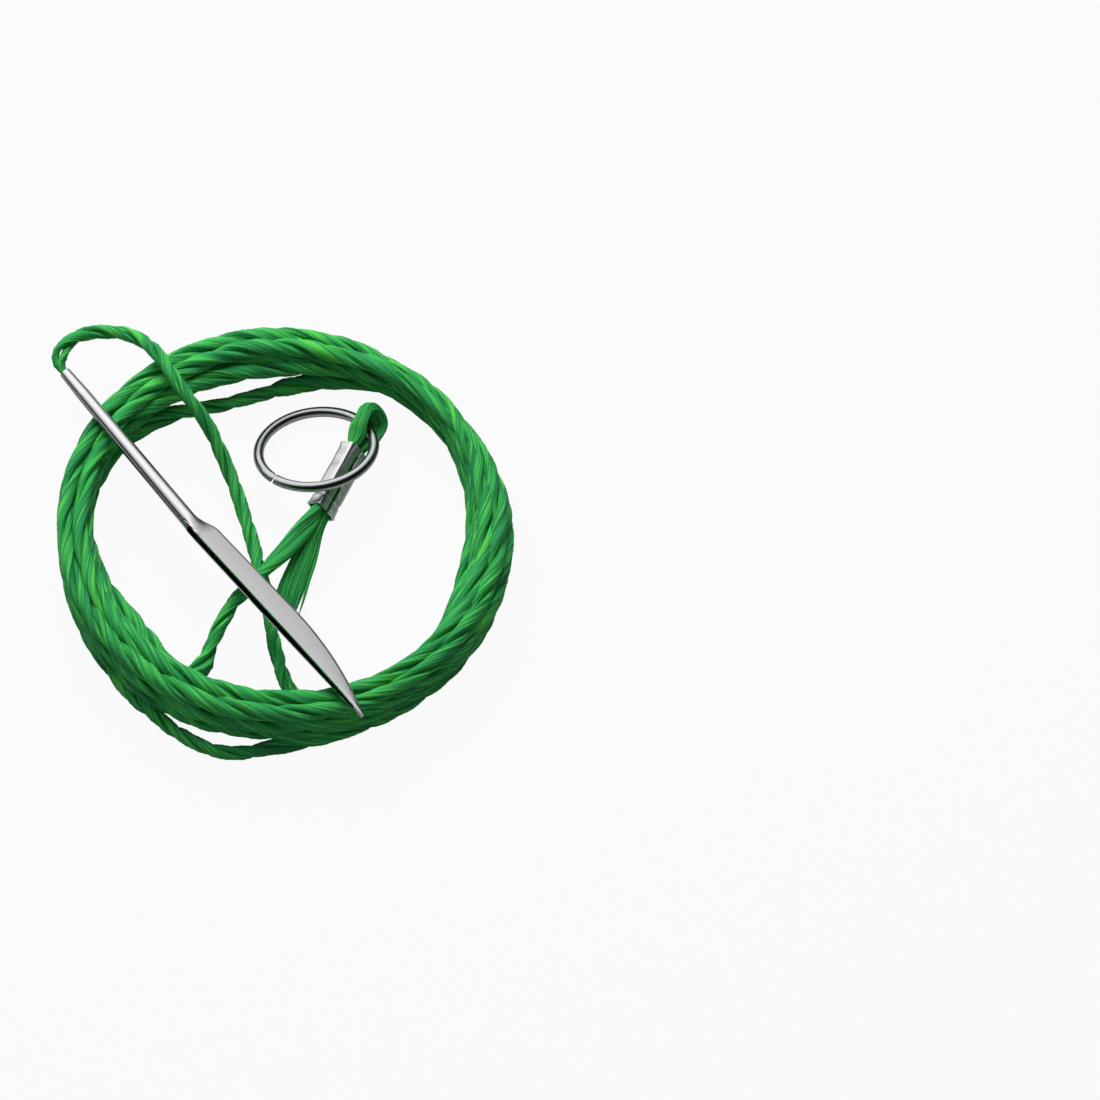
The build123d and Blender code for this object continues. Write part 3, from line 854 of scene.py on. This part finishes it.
def steel(name, colour, gloss, scale, heading, depth):
    """A steel whose roughness runs between two values, with marks along a heading."""
    material, tree, shader = new_material(name)
    place = tree.nodes.new("ShaderNodeTexCoord")
    marks = tree.nodes.new("ShaderNodeGroup")
    marks.node_tree = marks_group
    marks.inputs["Scale"].default_value = scale
    marks.inputs["Turn"].default_value = (0, 0, heading)
    tree.links.new(place.outputs["Object"], marks.inputs["Vector"])
    rough = tree.nodes.new("ShaderNodeMapRange")
    rough.inputs["From Min"].default_value = MASK_LOW
    rough.inputs["From Max"].default_value = MASK_HIGH
    rough.inputs["To Min"].default_value = gloss[0]
    rough.inputs["To Max"].default_value = gloss[1]
    tree.links.new(marks.outputs["Mask"], rough.inputs["Value"])
    tree.links.new(rough.outputs["Result"], shader.inputs["Roughness"])
    tint = ramp(tree, [(MASK_LOW, [c * DULL for c in colour]), (MASK_HIGH, colour)])
    tree.links.new(marks.outputs["Mask"], tint.inputs["Fac"])
    tree.links.new(tint.outputs["Color"], shader.inputs["Base Color"])
    shader.inputs["Metallic"].default_value = 1
    bump = tree.nodes.new("ShaderNodeBump")
    bump.inputs["Strength"].default_value = 0.15
    bump.inputs["Distance"].default_value = depth
    tree.links.new(marks.outputs["Mask"], bump.inputs["Height"])
    tree.links.new(bump.outputs["Normal"], shader.inputs["Normal"])
    return material


needle_steel = steel(
    "needle_steel", colour=(0.58, 0.58, 0.59), gloss=(0.14, 0.22),
    scale=(120, 2500, 2500), heading=NEEDLE_HEADING, depth=0.02 * MM,
)
ring_steel = steel(
    "ring_steel", colour=(0.42, 0.42, 0.43), gloss=(0.16, 0.26),
    scale=(700, 700, 700), heading=0, depth=0.02 * MM,
)
ferrule_steel = steel(
    "ferrule_steel", colour=(0.60, 0.60, 0.61), gloss=(0.26, 0.38),
    scale=(1400, 1400, 1400), heading=0, depth=0.05 * MM,
)
# brighter than real steel: partly fresh cut metal, partly a painted highlight along the cut edge
cut_steel_and_highlight = steel(
    "cut_steel_and_highlight", colour=(0.85, 0.85, 0.86), gloss=(0.35, 0.50),
    scale=(1400, 1400, 1400), heading=0, depth=0.05 * MM,
)
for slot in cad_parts["needle"].material_slots:
    slot.material = needle_steel
print("steels:", ", ".join(made.name for made in (needle_steel, ring_steel, ferrule_steel, cut_steel_and_highlight)))

# %% [markdown]
# ## The ferrule's sheet
# A press folds a strip of thin sheet round both runs of the cord, so its two edges meet in a seam. Here the
# sheet is its middle surface: an open, squarish loop, carried along the ferrule's axis. Extra points close
# to the seam and the mouths keep those edges crisp.

# %% Points of the sheet, round and along
SLEEVE_LENGTH = 18.0
SLEEVE_HALF = (2.90, 1.62)  # towards the eye's plane, and across it
SQUARENESS = 9.0
SEAM_HALF = 0.42  # half the seam's opening
SEAM_STEPS = (0, 0.3, 1.5, 8, 24)  # extra points by the seam
SEAM_CLEAR = 0.06  # where the even points start, in radians from the seam
EVEN_ROUND, EVEN_ALONG = 137, 71
MOUTH_STEP, MOUTH_CLEAR = 0.03, 0.25  # the extra points by a mouth, and where the even ones start

roundness = 2 / SQUARENESS
opening = (SEAM_HALF / SLEEVE_HALF[0]) ** (1 / roundness)
seam_edge = pi / 2 + opening + np.array(SEAM_STEPS) * opening
loop = np.concatenate([
    seam_edge,
    np.linspace(pi / 2 + SEAM_CLEAR, 5 * pi / 2 - SEAM_CLEAR, EVEN_ROUND),
    3 * pi - seam_edge[::-1],
])[None, :]
along = np.concatenate([
    [0, MOUTH_STEP],
    np.linspace(MOUTH_CLEAR, SLEEVE_LENGTH - MOUTH_CLEAR, EVEN_ALONG),
    [SLEEVE_LENGTH - MOUTH_STEP, SLEEVE_LENGTH],
])[:, None]
print("sheet:", along.size, "by", loop.size, "points")

# %% [markdown]
# ## The form of the sheet
# The mouths flare a little. The press leaves a dent near the lower one, and its top face leaning. The
# lower edge of the seam is ragged, where the strip was cut.

# %% Form of the sheet
TOP_TILT = 0.10  # slope of the top face


def squarish(wave):
    """The size of a sine or cosine, pressed towards 1, which makes the loop nearly square."""
    return np.abs(wave) ** roundness


flare = 0.16 * (bell(along, 0, 0.9) + bell(along, SLEEVE_LENGTH, 0.9))
dent = 0.22 * bell(along, 3.4, 0.55) + 0.08 * bell(along, 12.6, 1.2)
upward = (SLEEVE_HALF[0] + flare - dent) * np.sign(np.cos(loop)) * squarish(np.cos(loop))
sideways = (SLEEVE_HALF[1] + flare - dent * 0.4) * np.sign(np.sin(loop)) * squarish(np.sin(loop))
upward = upward - TOP_TILT * sideways * squarish(np.maximum(np.cos(loop), 0))
lower_edge = bell(loop, loop[0, 0], 0.02)
ragged = wander(along, (0.14, 0.11, 0.09), (0.43, 0.97, 1.71), (0.3, 1.1, 2.0))
upward = upward + (ragged - 0.15) * lower_edge
sideways = sideways + (0.06 + 0.35 * ragged) * lower_edge
sheet = (
    ferrule_mouth + along[:, :, None] * MM * ferrule_axis
    + upward[:, :, None] * MM * run_direction + sideways[:, :, None] * MM * eye_normal
)
print("sheet:", np.ptp(upward).round(2), "by", np.ptp(sideways).round(2), "mm across")

# %% [markdown]
# ## The ferrule
# The sheet's points become an open grid of quads. Solidify gives the sheet its thickness, half to each
# side, with a brighter steel on the cut: partly fresh metal, partly a painted highlight along the edge.

# %% Ferrule of folded sheet
SHEET_THICKNESS = 0.5 * MM

rows, columns = sheet.shape[:2]
row, column = np.meshgrid(np.arange(rows - 1), np.arange(columns - 1), indexing="ij")
corner = (row * columns + column).ravel()
quads = np.stack([corner, corner + 1, corner + columns + 1, corner + columns], axis=-1)
sleeve_mesh = bpy.data.meshes.new("sleeve")
sleeve_mesh.from_pydata(sheet.reshape(-1, 3).tolist(), [], quads.tolist())
sleeve_mesh.polygons.foreach_set("use_smooth", np.ones(len(quads), dtype=bool))
sleeve_mesh.materials.append(ferrule_steel)
sleeve_mesh.materials.append(cut_steel_and_highlight)
sleeve = bpy.data.objects.new("sleeve", sleeve_mesh)
bpy.context.collection.objects.link(sleeve)
thickness = sleeve.modifiers.new("thickness", "SOLIDIFY")
thickness.thickness = SHEET_THICKNESS
thickness.offset = 0
thickness.use_even_offset = True
# the rim takes the cut steel, whose brightness is partly a painted highlight
thickness.material_offset_rim = 1
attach(sleeve, "ferrule")
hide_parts("ferrule")
print("sleeve:", len(quads), "quads")

# %% [markdown]
# ## The ring's plane
# The ring lies across the ferrule, so it leans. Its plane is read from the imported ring: of all directions,
# the ring's points spread least along the plane's normal.

# %% Plane of the ring
packed_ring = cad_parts["ring"]
packed = np.empty(len(packed_ring.data.vertices) * 3)
packed_ring.data.vertices.foreach_get("co", packed)
turned_points = np.array(packed_ring.matrix_world.to_3x3()) @ packed.reshape(-1, 3).T
ring_normal = np.linalg.svd(turned_points - turned_points.mean(axis=1, keepdims=True))[0][:, 2]
ring_normal = ring_normal * np.sign(ring_normal[2])
ring_right = np.array([1, 0, 0]) - ring_normal[0] * ring_normal
ring_right = ring_right / np.linalg.norm(ring_right)
ring_back = np.cross(ring_normal, ring_right)
print("ring leans by", np.degrees(np.arccos(ring_normal[2])).round(1), "degrees")

# %% [markdown]
# ## The ring
# Round wire is bent to a circle and cut at a slant, and its two ends only meet. The joint stays a little
# open, so the floor shows through it as a bright line. The rim of each end is slightly rounded.

# %% Ring of bent wire
RING_CENTER = np.array([6.9, 22.0, 5.75]) * MM
RING_RADIUS = 13.12 * MM
WIRE_RADIUS = 1.18 * MM
JOINT_ANGLE = radians(224)
JOINT_GAP = 0.32 * MM
CUT_SLANT = (0.436, 0.584)  # how far the cut leans along the wire, outwards and upwards
SLANT_OVER = 2 * MM
RIM_DEPTH, RIM_OVER = 0.12 * MM, 0.25 * MM
BEND_RINGS, WIRE_SIDES = 161, 24

half_gap = JOINT_GAP / RING_RADIUS / 2
bend = np.linspace(JOINT_ANGLE + half_gap, JOINT_ANGLE + 2 * pi - half_gap, BEND_RINGS)[:, None]
section = 2 * pi * np.arange(WIRE_SIDES) / WIRE_SIDES
end_distance = np.minimum(bend - bend[0], bend[-1] - bend) * RING_RADIUS
wire = WIRE_RADIUS - RIM_DEPTH * (1 - eased(end_distance / RIM_OVER))
leaning = wire * (CUT_SLANT[0] * np.cos(section) + CUT_SLANT[1] * np.sin(section))
slanted = bend + (1 - eased(end_distance / SLANT_OVER)) * leaning / RING_RADIUS
outward = np.cos(slanted)[:, :, None] * ring_right + np.sin(slanted)[:, :, None] * ring_back
circle = np.cos(section)[None, :, None] * outward + np.sin(section)[None, :, None] * ring_normal
ring_grid = RING_CENTER + RING_RADIUS * outward + wire[:, :, None] * circle
ring_grid = ring_grid[:, ::-1]  # so that the faces look outwards
bent_ring = tube_mesh("bent_ring", [ring_grid], [bend[:, 0] * RING_RADIUS / MM], ring_steel)
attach(bent_ring, "ring")
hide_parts("ring")

# %% [markdown]
# ## Lamps
# The light comes from above and behind the coil, as the photograph's bright upper edges show. One large
# soft lamp gives it, and a weak one in front keeps the shade from going black. Neither shows in the
# metal, which mirrors the even studio below.


# %% Lamps
def area_light(name, place, size, power):
    """A square lamp that looks at the coil."""
    lamp = bpy.data.lights.new(name, "AREA")
    lamp.size = size
    lamp.energy = power
    holder = bpy.data.objects.new(name, lamp)
    holder.location = place
    holder.rotation_euler = (-Vector(place)).to_track_quat("-Z", "Y").to_euler()
    holder.visible_glossy = False
    bpy.context.collection.objects.link(holder)
    return holder


key = area_light("key", (-0.14, 0.54, 0.58), size=0.6, power=7.8)
fill = area_light("fill", (-0.45, -0.30, 0.65), size=0.5, power=0.20)
print("lamps:", key.data.energy, "and", round(fill.data.energy, 2), "W")

# %% [markdown]
# ## Floor
# A plain, pale floor carries the soft shadow. White is mixed over it by the kind of ray: most to the
# camera, which sees white paper with a faint shadow, and less in the metal, whose undersides are dark in
# the photograph. Soft light meets the pale floor itself.

# %% Floor
FLOOR_SIDE = 6.0
WHITE_SHARES = {"Is Camera Ray": 0.94, "Is Glossy Ray": 0.22, "Is Transmission Ray": 0.92}

half = FLOOR_SIDE / 2
floor_corners = [(-half, -half, 0), (half, -half, 0), (half, half, 0), (-half, half, 0)]
floor_mesh = bpy.data.meshes.new("floor")
floor_mesh.from_pydata(floor_corners, [], [(0, 1, 2, 3)])
floor = bpy.data.objects.new("floor", floor_mesh)
bpy.context.collection.objects.link(floor)


def whiteness(tree, shares):
    """How white a ray finds the floor: the largest share whose kind it is, and 0 for soft light."""
    path = tree.nodes.new("ShaderNodeLightPath")
    total = None
    for kind, share in shares.items():
        part = tree.nodes.new("ShaderNodeMath")
        part.operation = "MULTIPLY"
        part.inputs[1].default_value = share
        tree.links.new(path.outputs[kind], part.inputs[0])
        if total is None:
            total = part.outputs[0]
            continue
        either = tree.nodes.new("ShaderNodeMath")
        either.operation = "MAXIMUM"
        tree.links.new(total, either.inputs[0])
        tree.links.new(part.outputs[0], either.inputs[1])
        total = either.outputs[0]
    return total


floor_pale, tree, shader = new_material("floor_pale")
shader.inputs["Base Color"].default_value = (0.42, 0.42, 0.42, 1)
shader.inputs["Roughness"].default_value = 0.9
shader.inputs["Specular IOR Level"].default_value = 0
white = tree.nodes.new("ShaderNodeEmission")
mixed = tree.nodes.new("ShaderNodeMixShader")
tree.links.new(whiteness(tree, WHITE_SHARES), mixed.inputs["Fac"])
tree.links.new(shader.outputs["BSDF"], mixed.inputs[1])
tree.links.new(white.outputs["Emission"], mixed.inputs[2])
tree.links.new(mixed.outputs["Shader"], tree.nodes["Material Output"].inputs["Surface"])
floor_mesh.materials.append(floor_pale)
print("floor:", FLOOR_SIDE, "m on each side")

# %% [markdown]
# ## Studio
# Polished metal shows the whole studio: bright above, behind and to the left, dark in front. That is why
# it is black and white, so the world has that gradient for mirrored rays. All other light from the world
# is weak and even, and behind the floor the camera sees white.

# %% Studio
BRIGHT_SIDE = (-0.38, 0.70, 0.60)
SOFT_STRENGTH = 0.20
STUDIO = [(0.28, 0.012), (0.53, 0.09), (0.67, 0.89), (0.76, 1.02), (0.86, 1.70)]

world = bpy.data.worlds.new("studio")
bpy.context.scene.world = world
world.use_nodes = True
tree = world.node_tree
soft_light = tree.nodes["Background"]
soft_light.inputs["Color"].default_value = (1, 1, 1, 1)
soft_light.inputs["Strength"].default_value = SOFT_STRENGTH
way = tree.nodes.new("ShaderNodeTexCoord")
lifted = tree.nodes.new("ShaderNodeVectorMath")
lifted.operation = "DOT_PRODUCT"
lifted.inputs[1].default_value = BRIGHT_SIDE
tree.links.new(way.outputs["Generated"], lifted.inputs[0])
studio = ramp(tree, [(place, (grey, grey, grey)) for place, grey in STUDIO])
tree.links.new(lifted.outputs["Value"], studio.inputs["Fac"])
mirrored = tree.nodes.new("ShaderNodeBackground")
tree.links.new(studio.outputs["Color"], mirrored.inputs["Color"])
behind = tree.nodes.new("ShaderNodeBackground")
behind.inputs["Color"].default_value = (1, 1, 1, 1)
path = tree.nodes.new("ShaderNodeLightPath")
for kind, light in (("Is Glossy Ray", mirrored), ("Is Camera Ray", behind)):
    choice = tree.nodes.new("ShaderNodeMixShader")
    tree.links.new(path.outputs[kind], choice.inputs["Fac"])
    tree.links.new(soft_light.outputs[0], choice.inputs[1])
    tree.links.new(light.outputs[0], choice.inputs[2])
    soft_light = choice
tree.links.new(soft_light.outputs[0], tree.nodes["World Output"].inputs["Surface"])
bpy.context.scene.view_settings.view_transform = "Standard"
print("studio: grey from", STUDIO[0][1], "to", STUDIO[-1][1])
